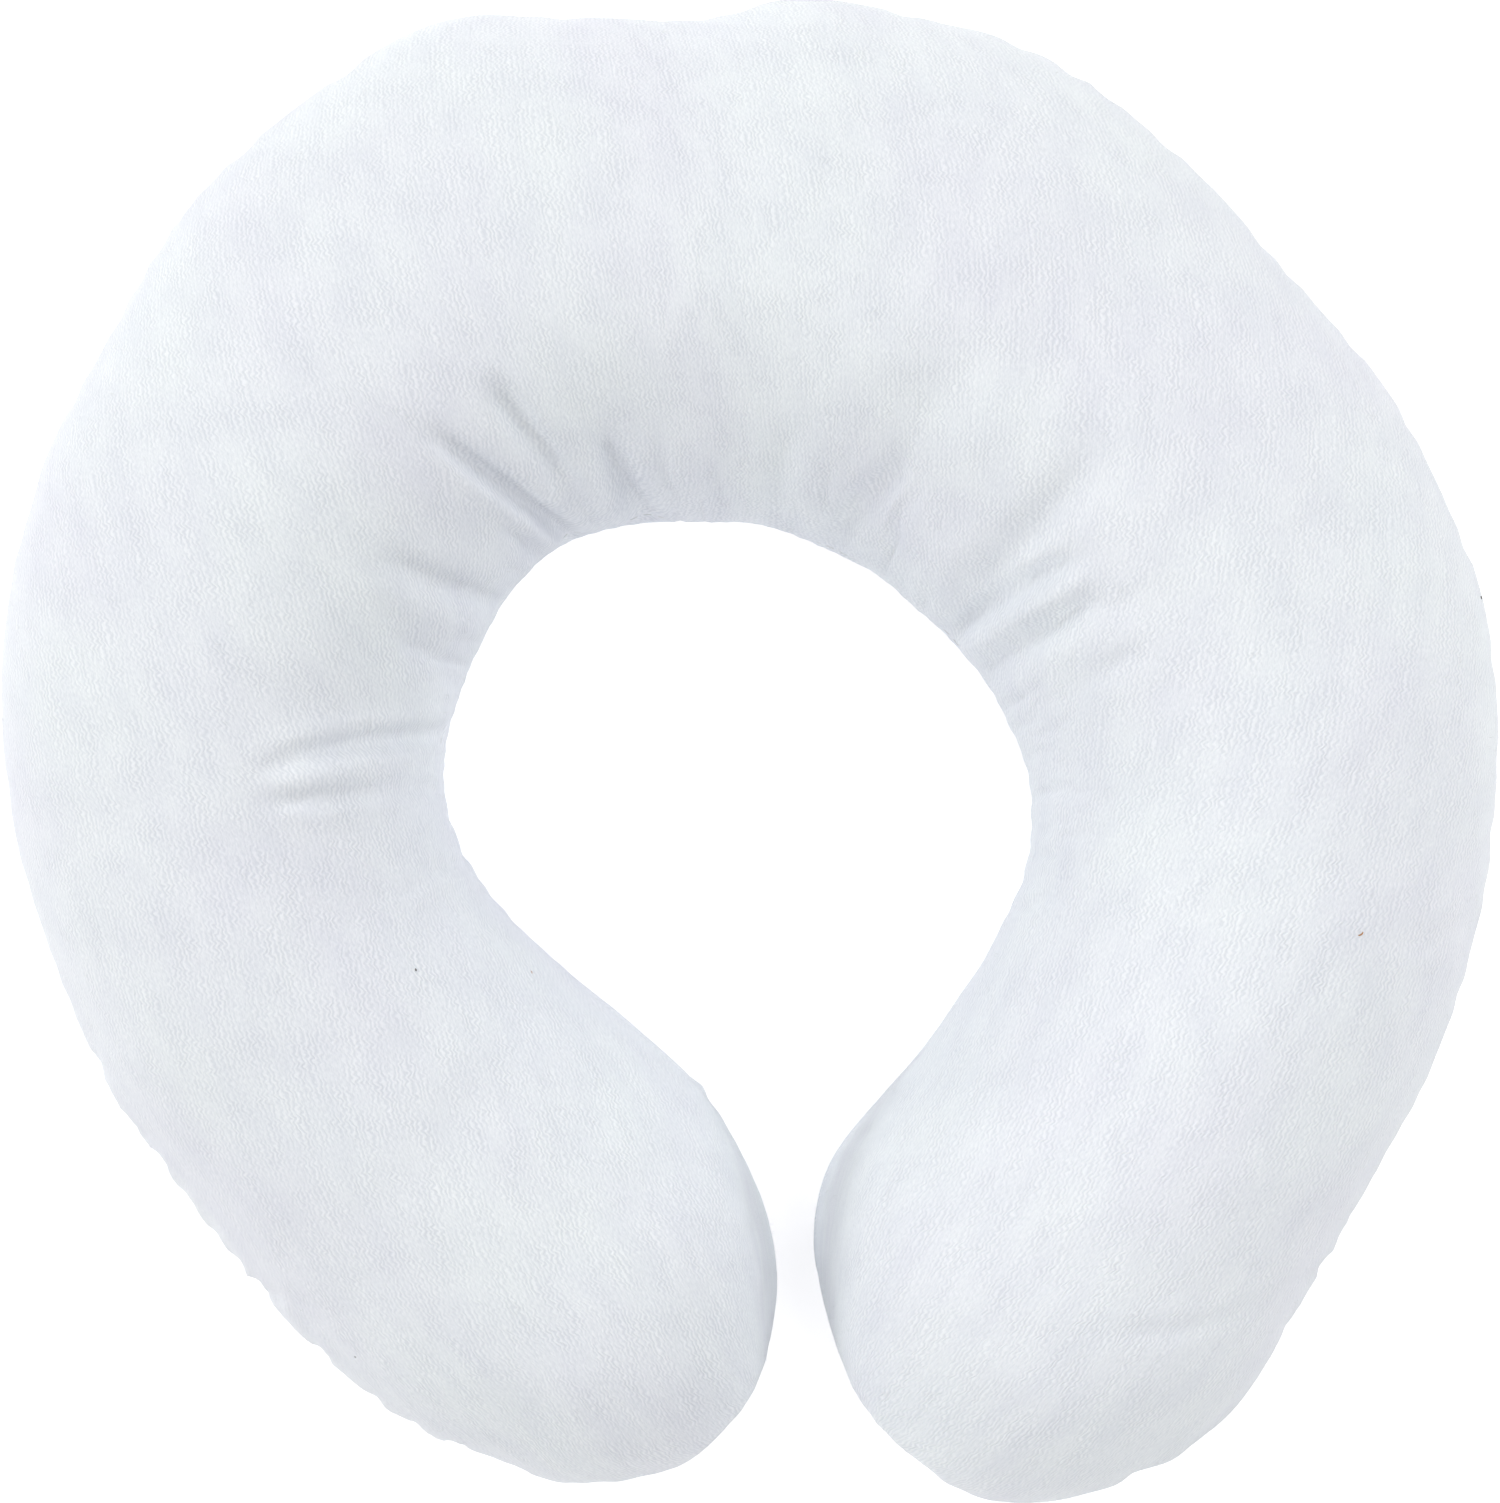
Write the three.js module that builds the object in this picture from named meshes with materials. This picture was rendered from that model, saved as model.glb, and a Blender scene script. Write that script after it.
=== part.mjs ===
// A stuffed neck pillow of white velour, lying on its back, as one filled solid.
// Millimetres, +Z up. Seen from above, +X is the right of the face, +Y its closed back, and the mouth opens to -Y.
// The origin is under the middle of the pillow, at the level that it rests on.

import * as THREE from "three";

// Driving sizes
const OVERALL_WIDTH = 310;
const SEAM_DIP = 1.8; // how far the turned seam lies inside the bulge of the two panels
const MOST_DIP = 0.25; // the most of a narrow section's half width that the seam may take
const LIP_ANGLE = 5; // degrees round the section from the seam to the lip beside it
const FULLNESS = 2.15; // exponent of the section's curve: 2 is an ellipse, more is squarer
const UNDER_SHARE = 1.05; // depth of the underside below the seam, as a share of the crown's rise above it
const PRESS_BLEND = 1.5; // height over which the underside turns into the flat that rests
const CREASE_ABOVE = 26; // height over the seam from which a crease keeps its whole depth
const CREASE_BELOW = 10; // height under the seam at which it has died out
const DEEPENS_BY = 0.45; // share of a crease's length over which it deepens
const EASES_FROM = 0.6; // share of its length from which it eases towards its end
const ROLL_AWAY = 2.1; // distance from a groove to the roll beside it, in half widths
const ROLL_WIDTH = 1.2; // a roll's own half width, in half widths of the groove
const TUCK_SPREAD = 2.5; // how much further a tuck reaches up and down the side than along the edge

const STEPS_ALONG = 132;
const STEPS_PER_PANEL = 18; // faces from one lip to the other, over the crown or under the belly
const MEASURE_STEPS = 1200; // fine steps that measure the travel of the edges
const CREASE_STEPS = 16;

const CLOTH = { color: 0xe9edf2, roughness: 0.95, metalness: 0 };

// Sections from the tip of the left lobe, round the back, to the tip of the right lobe. Each one runs from
// the inner edge to the outer edge of the pillow, with the height of its seam and the crown's rise above that.
const SECTION_COLUMNS = ["innerX", "innerY", "outerX", "outerY", "seam", "rise"];
const SECTIONS = [
  [-3.5, -138.5, -3.5, -138.5, 37, 0],
  [2.2, -131, -12.5, -146.8, 37, 13],
  [4.8, -121, -25, -150.3, 37, 24],
  [5.8, -109, -39, -151, 37, 32],
  [3.2, -94, -54, -146, 37, 37.5],
  [-6.5, -74.5, -73, -138.2, 37, 40],
  [-23, -57.5, -93, -121.5, 37.2, 40.3],
  [-43, -41, -117.3, -92.3, 38, 40.8],
  [-57, -25, -135, -65.5, 39, 41.5],
  [-63, -5, -149.5, -27, 39.5, 42.3],
  [-60, 11, -155, 12, 40.3, 43],
  [-52, 27.5, -147.5, 54, 41, 43.7],
  [-40, 41.2, -127.5, 93.5, 41.8, 44.6],
  [-31, 45, -108, 119.8, 42.2, 45],
  [-23, 46.2, -84, 139.5, 42.6, 45.4],
  [-16, 46.4, -62, 150.9, 42.8, 45.6],
  [-8, 46.3, -35, 152, 43, 45.6],
  [0.5, 46, -12, 151, 43, 45.4],
  [7, 44.2, 9, 155.6, 43.2, 46],
  [14, 41.6, 32, 152, 43.2, 46],
  [24, 37.2, 62, 142.5, 42.8, 45.6],
  [33, 30, 87.5, 124.7, 42.2, 45],
  [43, 20.4, 113.5, 97.3, 41.6, 44.4],
  [51.5, 8.5, 136, 68.5, 41, 43.7],
  [57.2, -6, 151.5, 31.8, 40.4, 43],
  [57.3, -22, 155, -10, 39.8, 42.4],
  [50, -40.5, 146.8, -51.5, 39.2, 41.8],
  [36.5, -61, 129, -90.5, 38.6, 41.4],
  [24, -75, 115.5, -113.5, 38, 41],
  [16, -87.5, 102, -135, 37.6, 40.2],
  [13.7, -102.5, 86, -146.6, 37.4, 36.5],
  [16.8, -119.5, 65, -155.3, 37.2, 28],
  [23, -134.5, 47, -154.2, 37, 15.5],
  [34, -146.6, 34, -146.6, 37, 0],
];

// Creases of the upper panel, each along an arc from its faint outer end, through a point on the way, to its
// inner end. Depth and half width are the groove's, the lifts are the soft rolls on its left and right
// (looking along it), and endShare is how much of the depth is left where it ends.
const CREASE_COLUMNS = [
  "fromX", "fromY", "viaX", "viaY", "toX", "toY", "depth", "halfWidth", "liftLeft", "liftRight", "endShare",
];
const CREASES = [
  [-70, 68, -55, 56.5, -35, 42, 5.5, 3.6, 0.8, 1.6, 1],
  [-60, 86, -49.5, 69, -38, 53, 3.2, 4, 1.0, 0.8, 0.2],
  [-28, 74, -28.5, 58, -19, 44, 4.2, 4.2, 0.8, 1.0, 1],
  [-80, 45, -66, 35.5, -48, 30, 2.6, 6.5, 0.4, 1.2, 0.9],
  [-106, -6, -84, 1.2, -60, 2.5, 2.6, 3.6, 1.2, 0.8, 0.7],
  [-103, -11.5, -85, -8.5, -64, -7.5, 1.8, 3.2, 0.8, 0.6, 0.4],
  [76, 45, 57, 34.5, 36, 23, 2.8, 3.4, 1.2, 0.8, 0.8],
  [88, 34.5, 66, 27.5, 46, 15.5, 3.4, 3.8, 1.6, 1.0, 0.8],
  [44, 82, 33, 62, 15, 44, 2.6, 9, 0.6, 1.2, 0.8],
  [74, 70, 64, 50, 44, 32, 1.8, 8, 0.8, 0.4, 0.6],
  [-6, -76, -26, -92, -46, -115, 1.4, 7, 0.4, 0.6, 0],
  [-44, -62, -60, -76, -80, -95, 1.2, 8, 0.4, 0.4, 0],
];

// Places where the seam has drawn the edge in: a dent on the edge, its reach round it and its depth.
const TUCK_COLUMNS = ["x", "y", "reach", "depth"];
const TUCKS = [
  [-55.5, -145.5, 5, 2.4],
  [-74, -137, 4.5, 1.2],
  [-124, -82, 5, 0.9],
  [-111, -101, 4.5, 0.9],
  [80, -149.5, 5, 0.9],
  [33, -146.5, 5, 0.9],
];

function namedRows(columns, rows) {
  return rows.map((row) => Object.fromEntries(columns.map((name, i) => [name, row[i]])));
}

// A smooth curve through one pair of columns. Past each tip the sections go on with their ends swapped,
// so that the edge runs round the tip without a corner.
function curveThrough(sections, pick) {
  const swapped = (s) => ({
    innerX: s.outerX,
    innerY: s.outerY,
    outerX: s.innerX,
    outerY: s.innerY,
    seam: s.seam,
    rise: -s.rise,
  });
  const last = sections.length - 1;
  const rows = [swapped(sections[1]), ...sections, swapped(sections[last - 1])];
  const curve = new THREE.CatmullRomCurve3(rows.map(pick), false, "centripetal");
  return (t) => curve.getPoint((1 + t * last) / (rows.length - 1));
}

// Positions along the pillow, from 0 to 1, at even steps of the mean travel of its two edges.
function evenSteps(innerEdge, outerEdge, count) {
  const travel = [0];
  for (let i = 1; i <= MEASURE_STEPS; i += 1) {
    const before = (i - 1) / MEASURE_STEPS;
    const now = i / MEASURE_STEPS;
    const inner = innerEdge(now).distanceTo(innerEdge(before));
    const outer = outerEdge(now).distanceTo(outerEdge(before));
    travel.push(travel[i - 1] + (inner + outer) / 2);
  }
  const whole = travel[MEASURE_STEPS];
  const steps = [];
  let i = 0;
  for (let step = 0; step <= count; step += 1) {
    const wanted = (whole * step) / count;
    while (i < MEASURE_STEPS - 1 && travel[i + 1] < wanted) i += 1;
    steps.push((i + (wanted - travel[i]) / (travel[i + 1] - travel[i])) / MEASURE_STEPS);
  }
  return steps;
}

// Angles round the section: 0 is the outer seam, 90 the crown, 180 the inner seam, 270 the underside.
function sectionAngles() {
  const angles = [];
  for (const seam of [0, 180]) {
    angles.push(seam);
    for (let i = 0; i <= STEPS_PER_PANEL; i += 1) {
      angles.push(seam + LIP_ANGLE + ((180 - 2 * LIP_ANGLE) * i) / STEPS_PER_PANEL);
    }
  }
  return angles.map(THREE.MathUtils.degToRad);
}

// One share of a superellipse: the cosine or sine raised to the section's fullness, with its sign kept.
function rounded(value) {
  return Math.sign(value) * Math.abs(value) ** (2 / FULLNESS);
}

function sectionPoint(inner, outer, { seam, rise }, angle) {
  const middle = inner.clone().add(outer).multiplyScalar(0.5);
  const half = outer.clone().sub(inner).multiplyScalar(0.5);
  const across = rounded(Math.cos(angle));
  const up = rounded(Math.sin(angle));
  const fromSeam = Math.abs(Math.sin(angle)) / Math.sin(THREE.MathUtils.degToRad(LIP_ANGLE));
  const dip = Math.max(0, 1 - fromSeam) * Math.min(SEAM_DIP / half.length(), MOST_DIP);
  const point = middle.addScaledVector(half, across * (1 - dip));
  point.z = seam + up * rise * (up > 0 ? 1 : UNDER_SHARE);
  return point;
}

// Signed distance to a crease's arc in plan, left of it positive, and how far along it the nearest point is.
function alongCrease(curvePoints, x, y) {
  let best = { distance: Infinity, share: 0 };
  for (let i = 1; i < curvePoints.length; i += 1) {
    const a = curvePoints[i - 1];
    const b = curvePoints[i];
    const dx = b.x - a.x;
    const dy = b.y - a.y;
    const lengthSquared = dx * dx + dy * dy;
    const t = THREE.MathUtils.clamp(((x - a.x) * dx + (y - a.y) * dy) / lengthSquared, 0, 1);
    const offX = x - a.x - t * dx;
    const offY = y - a.y - t * dy;
    const distance = Math.hypot(offX, offY);
    if (distance < Math.abs(best.distance)) {
      const side = dx * offY - dy * offX < 0 ? -1 : 1;
      best = { distance: side * distance, share: (i - 1 + t) / (curvePoints.length - 1) };
    }
  }
  return best;
}

function bell(distance, width) {
  return Math.exp(-((distance / width) ** 2));
}

function creaseShape(crease, x, y) {
  const { distance, share } = alongCrease(crease.points, x, y);
  const { halfWidth } = crease;
  const fadeIn = THREE.MathUtils.smoothstep(share, 0, DEEPENS_BY);
  const fadeOut = 1 - (1 - crease.endShare) * THREE.MathUtils.smoothstep(share, EASES_FROM, 1);
  const lift = distance > 0 ? crease.liftLeft : crease.liftRight;
  const roll = lift * bell(Math.abs(distance) - ROLL_AWAY * halfWidth, ROLL_WIDTH * halfWidth);
  return fadeIn * fadeOut * (roll - crease.depth * bell(distance, halfWidth));
}

// How far the cloth stands out of the smooth form at a point, with creases only on the upper panel.
function relief(creases, tucks, point, seam) {
  const upper = THREE.MathUtils.smoothstep(point.z, seam - CREASE_BELOW, seam + CREASE_ABOVE);
  let height = 0;
  for (const crease of creases) height += upper * creaseShape(crease, point.x, point.y);
  for (const tuck of tucks) {
    const away = Math.hypot(point.x - tuck.x, point.y - tuck.y, (point.z - seam) / TUCK_SPREAD);
    height -= tuck.depth * bell(away, tuck.reach);
  }
  return height;
}

// The underside turns smoothly into a flat where it rests.
function pressFlat(z) {
  if (z <= -PRESS_BLEND) return 0;
  if (z >= PRESS_BLEND) return z;
  return (z + PRESS_BLEND) ** 2 / (4 * PRESS_BLEND);
}

function loftGeometry(rings, firstTip, lastTip) {
  const around = rings[0].length;
  const positions = [firstTip, ...rings.flat(), lastTip].flatMap((p) => [p.x, p.y, p.z]);
  const lastIndex = 1 + rings.length * around;
  const faces = [];
  for (let j = 0; j < around; j += 1) {
    const next = (j + 1) % around;
    faces.push(0, 1 + next, 1 + j);
    for (let i = 0; i + 1 < rings.length; i += 1) {
      const here = 1 + i * around;
      const there = here + around;
      faces.push(here + j, here + next, there + j);
      faces.push(here + next, there + next, there + j);
    }
    const end = 1 + (rings.length - 1) * around;
    faces.push(end + j, end + next, lastIndex);
  }
  const geometry = new THREE.BufferGeometry();
  geometry.setAttribute("position", new THREE.Float32BufferAttribute(positions, 3));
  geometry.setIndex(faces);
  geometry.computeVertexNormals();
  return geometry;
}

function makePillow() {
  const sections = namedRows(SECTION_COLUMNS, SECTIONS);
  const tucks = namedRows(TUCK_COLUMNS, TUCKS);
  const creases = namedRows(CREASE_COLUMNS, CREASES).map((crease) => ({
    ...crease,
    points: new THREE.SplineCurve([
      new THREE.Vector2(crease.fromX, crease.fromY),
      new THREE.Vector2(crease.viaX, crease.viaY),
      new THREE.Vector2(crease.toX, crease.toY),
    ]).getPoints(CREASE_STEPS),
  }));
  const innerEdge = curveThrough(sections, (s) => new THREE.Vector3(s.innerX, s.innerY, 0));
  const outerEdge = curveThrough(sections, (s) => new THREE.Vector3(s.outerX, s.outerY, 0));
  const heights = curveThrough(sections, (s) => new THREE.Vector3(s.seam, s.rise, 0));
  const angles = sectionAngles();

  const steps = evenSteps(innerEdge, outerEdge, STEPS_ALONG).slice(1, -1);
  const rings = steps.map((t) => {
    const { x: seam, y: rise } = heights(t);
    return angles.map((angle) => sectionPoint(innerEdge(t), outerEdge(t), { seam, rise }, angle));
  });
  const tip = (section) => new THREE.Vector3(section.innerX, section.innerY, section.seam);
  const geometry = loftGeometry(rings, tip(sections[0]), tip(sections[sections.length - 1]));

  const position = geometry.getAttribute("position");
  const normal = geometry.getAttribute("normal");
  const seams = [0, ...steps.flatMap((t) => angles.map(() => t)), 1].map((t) => heights(t).x);
  const point = new THREE.Vector3();
  const outward = new THREE.Vector3();
  for (let i = 0; i < position.count; i += 1) {
    point.fromBufferAttribute(position, i);
    outward.fromBufferAttribute(normal, i);
    point.addScaledVector(outward, relief(creases, tucks, point, seams[i]));
    position.setXYZ(i, point.x, point.y, pressFlat(point.z));
  }
  geometry.computeVertexNormals();
  return geometry;
}

function centredToWidth(geometry, width) {
  geometry.computeBoundingBox();
  const { min, max } = geometry.boundingBox;
  const scale = width / (max.x - min.x);
  geometry.translate(-(min.x + max.x) / 2, -(min.y + max.y) / 2, 0);
  geometry.scale(scale, scale, 1);
  return geometry;
}

const pillow = new THREE.Mesh(
  centredToWidth(makePillow(), OVERALL_WIDTH),
  new THREE.MeshStandardMaterial(CLOTH),
);
pillow.name = "pillow";

const neckPillow = new THREE.Group();
neckPillow.add(pillow);

export default neckPillow;
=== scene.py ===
"""The white velour neck pillow, dressed round its solid and photographed from straight above.

Everything is in metres in the solid's own frame: +Z up, +Y towards the pillow's closed back, and the
mouth between the two lobes opens to -Y. The tables below are in millimetres, as a maker would measure.
"""

import math
from functools import partial

import bmesh
import bpy
import numpy as np
from bpy.props import FloatProperty, FloatVectorProperty, IntProperty, PointerProperty
from mathutils import Matrix, Vector, noise
from mathutils.bvhtree import BVHTree


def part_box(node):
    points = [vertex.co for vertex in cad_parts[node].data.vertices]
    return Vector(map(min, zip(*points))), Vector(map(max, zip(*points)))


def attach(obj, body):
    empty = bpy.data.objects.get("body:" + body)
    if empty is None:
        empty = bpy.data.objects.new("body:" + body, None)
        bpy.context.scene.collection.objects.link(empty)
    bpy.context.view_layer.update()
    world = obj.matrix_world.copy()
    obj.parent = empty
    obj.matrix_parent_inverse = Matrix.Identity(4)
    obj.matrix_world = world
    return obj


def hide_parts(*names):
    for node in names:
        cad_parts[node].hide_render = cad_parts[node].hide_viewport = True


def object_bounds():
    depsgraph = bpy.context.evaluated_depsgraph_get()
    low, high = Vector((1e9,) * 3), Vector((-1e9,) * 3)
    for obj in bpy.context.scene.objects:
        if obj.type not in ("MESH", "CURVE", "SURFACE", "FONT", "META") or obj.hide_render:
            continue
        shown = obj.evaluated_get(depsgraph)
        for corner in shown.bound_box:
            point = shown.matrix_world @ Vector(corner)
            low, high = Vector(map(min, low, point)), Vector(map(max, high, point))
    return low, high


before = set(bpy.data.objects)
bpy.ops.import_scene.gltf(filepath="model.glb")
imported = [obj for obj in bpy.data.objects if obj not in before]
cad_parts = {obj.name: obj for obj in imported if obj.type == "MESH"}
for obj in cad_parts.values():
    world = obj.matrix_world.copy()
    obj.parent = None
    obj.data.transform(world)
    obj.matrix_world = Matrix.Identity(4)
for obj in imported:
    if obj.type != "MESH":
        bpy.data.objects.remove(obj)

bl_info = {
    "name": "Neck pillow",
    "version": (1, 0, 0),
    "blender": (4, 5, 0),
    "location": "3D View > Sidebar > Pillow",
    "description": "A stuffed neck pillow of short-pile velour, with its seam, creases, stitches and lint",
    "category": "Object",
}

MM = 0.001
DECIMETRE = 0.1
NODE = "pillow"
BODY = "root"
CAD_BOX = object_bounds()

# The photograph's frame, and how the pillow lies in it.
IMAGE_WIDTH_PX = 1500
IMAGE_HEIGHT_PX = 1503
PILLOW_LEFT_PX = 2
PILLOW_RIGHT_PX = 1497
PILLOW_TOP_PX = 2
PILLOW_BOTTOM_PX = 1500

# Sections from the tip of the left lobe, round the back, to the tip of the right lobe, as the solid has
# them: inner edge, outer edge, height of the seam, and rise of the crown above the seam.
SECTION_COLUMNS = ("inner_x", "inner_y", "outer_x", "outer_y", "seam", "rise")
SECTIONS = (
    (-3.5, -138.5, -3.5, -138.5, 37, 0),
    (2.2, -131, -12.5, -146.8, 37, 13),
    (4.8, -121, -25, -150.3, 37, 24),
    (5.8, -109, -39, -151, 37, 32),
    (3.2, -94, -54, -146, 37, 37.5),
    (-6.5, -74.5, -73, -138.2, 37, 40),
    (-23, -57.5, -93, -121.5, 37.2, 40.3),
    (-43, -41, -117.3, -92.3, 38, 40.8),
    (-57, -25, -135, -65.5, 39, 41.5),
    (-63, -5, -149.5, -27, 39.5, 42.3),
    (-60, 11, -155, 12, 40.3, 43),
    (-52, 27.5, -147.5, 54, 41, 43.7),
    (-40, 41.2, -127.5, 93.5, 41.8, 44.6),
    (-31, 45, -108, 119.8, 42.2, 45),
    (-23, 46.2, -84, 139.5, 42.6, 45.4),
    (-16, 46.4, -62, 150.9, 42.8, 45.6),
    (-8, 46.3, -35, 152, 43, 45.6),
    (0.5, 46, -12, 151, 43, 45.4),
    (7, 44.2, 9, 155.6, 43.2, 46),
    (14, 41.6, 32, 152, 43.2, 46),
    (24, 37.2, 62, 142.5, 42.8, 45.6),
    (33, 30, 87.5, 124.7, 42.2, 45),
    (43, 20.4, 113.5, 97.3, 41.6, 44.4),
    (51.5, 8.5, 136, 68.5, 41, 43.7),
    (57.2, -6, 151.5, 31.8, 40.4, 43),
    (57.3, -22, 155, -10, 39.8, 42.4),
    (50, -40.5, 146.8, -51.5, 39.2, 41.8),
    (36.5, -61, 129, -90.5, 38.6, 41.4),
    (24, -75, 115.5, -113.5, 38, 41),
    (16, -87.5, 102, -135, 37.6, 40.2),
    (13.7, -102.5, 86, -146.6, 37.4, 36.5),
    (16.8, -119.5, 65, -155.3, 37.2, 28),
    (23, -134.5, 47, -154.2, 37, 15.5),
    (34, -146.6, 34, -146.6, 37, 0),
)
FULLNESS = 2.15
UNDER_SHARE = 1.05

# Creases of the upper panel, from their faint outer end, through a point on the way, to their inner end:
# depth and half width of the groove, rolls on its left and right, and the share of depth at its end.
CREASE_COLUMNS = (
    "from_x", "from_y", "via_x", "via_y", "to_x", "to_y",
    "depth", "half_width", "lift_left", "lift_right", "end",
)
CREASES = (
    (-68, 67, -53, 55.2, -36, 43, 4.4, 1.5, 0.5, 1.3, 1),
    (-54, 76.5, -46, 65.8, -37.3, 55, 4.6, 2.2, 0.8, 0.6, 0.8),
    (-30, 64, -26.3, 54.5, -18.8, 43, 5.6, 2.5, 0.5, 0.9, 1),
    (-19, 67, -18, 58, -16, 49, 0.7, 2.8, 0.2, 0.2, 0.7),
    (9, 66, 7, 57, 5, 49, 1.2, 2.2, 0.3, 0.3, 0.7),
    (-75, 41.5, -66, 34.5, -50, 30, 1.9, 2.6, 0.5, 0.9, 0.9),
    (-49.5, 45, -45.5, 42, -40, 39, 1.4, 1.5, 0.3, 0.4, 0.8),
    (-103, -5, -85, 0, -62, 3.4, 2.4, 1.7, 0.8, 1.1, 0.7),
    (-103, -10, -88, -9.4, -68, -7.5, 1.5, 1.4, 1.0, 0.5, 0.4),
    (-105, 14, -95, 12, -82, 8, 1.5, 5.0, 0.3, 0.3, 0.4),
    (-74, 22, -66, 20, -58, 17, 0.8, 3.5, 0.2, 0.3, 0.6),
    (70, 41.5, 57.5, 34, 42.5, 25, 4.2, 2.0, 1.3, 1.0, 0.8),
    (72, 32, 61.5, 25.8, 50, 17.4, 3.0, 2.5, 1.0, 0.8, 0.4),
    (88, 31.5, 79, 30, 70, 28.5, 1.3, 2.2, 0.2, 0.3, 0.3),
    (82, 22.5, 74, 17.5, 66, 12.5, 1.2, 2.0, 0.3, 0.5, 0.4),
    (52, 39, 47, 34, 41, 29.5, 1.4, 2.8, 0.3, 0.5, 0.8),
    (50, 87, 38.5, 72, 27, 59, 2.2, 6, 0.6, 0.8, 0.3),
    (35, 59, 27, 52.5, 17, 44.5, 3.6, 2.1, 0.3, 0.9, 0.9),
    (69, 76, 67, 56, 48.5, 35, 3.0, 4.5, 0.6, 0.5, 0.6),
    (68, 59, 58.5, 44.5, 47, 35, 1.8, 2.8, 0.4, 0.6, 0.6),
    (-6, -76, -26, -92, -46, -115, 0.5, 5, 0.3, 0.3, 0),
    (-44, -62, -60, -76, -80, -95, 0.5, 6, 0.3, 0.3, 0),
    (121, -104, 92, -115.5, 62, -116.5, 1.2, 1.5, 0.2, 0.4, 0.1),
    (151, -34, 138, -38, 122, -37, 0.5, 2.0, 0.2, 0.3, 0.2),
)
# Half width over which the bottom of a groove is rounded, as a share of its half width.
GROOVE_ROUND = 0.45
# The shares of a crease's length by which it has deepened, and from which it eases towards its end.
DEEPENS_BY = 0.45
EASES_FROM = 0.6
# How far from a groove the roll beside it stands, and the roll's own half width, in half widths.
ROLL_AWAY = 2.1
ROLL_WIDTH = 1.2
# A crease has its whole depth from this height above the seam, and has died out at this one below it.
CREASE_ABOVE = 18
CREASE_BELOW = 10
# The shares of the creases and of the puckers that are folded in before the cover is stuffed.
FOLDED_BEFORE = 0.75
PUCKERED_BEFORE = 0.5

# Stretches of the rim where the seam has puckered the cloth: a place on the edge, how far it reaches
# along the rim, and how high the puckers stand.
PUCKER_COLUMNS = ("x", "y", "reach", "height")
PUCKERS = (
    (-125, -80, 22, 0.9),
    (-100, -112, 24, 1.0),
    (-66, -142, 14, 1.2),
    (-30, -151, 22, 0.7),
    (2, -132, 14, 0.8),
    (22, -136, 16, 0.9),
    (45, -154, 18, 0.8),
    (84, -147, 16, 0.9),
    (116, -110, 16, 0.7),
    (-70, 148, 26, 0.4),
    (-115, 112, 30, 0.45),
    (15, 155, 30, 0.25),
    (70, 138, 30, 0.35),
    (54, 4, 18, 0.3),
    (-10, -70, 8, 1.0),
)
PUCKER_LEAST = 0.12
# Puckers come in two sizes, the pitch and this many times finer, each with a share of the height. They run
# up and down the side, and die out this far from the seam.
FINER_PUCKERS = 2.3
PUCKER_SHARE = 0.6
PUCKER_SWING = 1.4
PUCKER_UPRIGHT = 0.45
PUCKER_REACH = 13

# Soft lumps of the filling: how high they stand and how wide they are, in millimetres.
LUMPS = ((0.9, 34), (0.35, 13))

# The grid that is stuffed: steps along the pillow, steps across each panel, and how much closer the
# columns stand on the hollow's side, where the creases are. It is refined once after the stuffing.
ROWS = 260
PANEL_COLUMNS = 48
CROWDING = 0.4
MEASURE_STEPS = 1200

# How loose the cover is: the share by which cloth beside the hollow's seam was cut longer than the seam,
# how much of that the rim's puckers have, and how far from the seam it reaches, in millimetres.
LOOSE_SHARE = 0.08
RIM_LOOSENESS = 0.6
LOOSE_REACH_INNER = 28
# Beside the mouth the cover is taut: the looseness ends between these two places up the pillow.
TAUT_BELOW = -55
LOOSE_ABOVE = -15
SEAM_HOLDS = 9
LOOSE_REACH_OUTER = 9
# The share by which the sewn cover is slimmer than the stuffed one.
SLIM = 0.03
# Near the two tips the cover keeps the shape that it was sewn in: wholly so up to the first of these
# distances from the tip, in millimetres, and not at all from the second.
TIP_KEEPS = 3
TIP_GIVES = 15
# How the cover behaves while it is stuffed, in the units of Blender's cloth.
STUFFING_FRAMES = 20
STUFFING_PRESSURE = 150.0
VERTEX_MASS = 0.001
CLOTH_STIFFNESS = 5.0
CLOTH_BENDING = 0.2
# Half width of the valley that the seam makes between the panels, and the height over which the underside
# turns into the flat that rests, in millimetres.
SEAM_VALLEY = 2.4
PRESS_BLEND = 1.2

# The studio: square softboxes, by the direction they stand in, anticlockwise from +X, and their angle above
# the table, in degrees, distance and side in metres, and power in watts.
SOFTBOX_COLUMNS = ("name", "round", "above", "away", "side", "watts")
SOFTBOXES = (
    ("near_front_right_softbox", 315, 55, 0.75, 0.5, 2.1),
    ("near_right_softbox", 0, 25, 0.75, 0.5, 0.4),
    ("near_back_right_softbox", 45, 25, 0.75, 0.5, 0.7),
    ("back_right_softbox", 45, 42, 1.5, 0.9, 5.0),
    ("back_left_softbox", 135, 42, 1.5, 0.9, 8.0),
    ("left_softbox", 180, 42, 1.5, 0.9, 2.5),
    ("low_back_left_softbox", 135, 18, 1.5, 0.9, 4.1),
    ("low_front_left_softbox", 225, 18, 1.5, 0.9, 6.1),
)
SEAM_HEIGHT = 0.041
FLOOR_REACH = 12.0
FLOOR_GLOW = 0.38
WORLD_GLOW = 0.15
LENS_MM = 120
SENSOR_MM = 36

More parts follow.
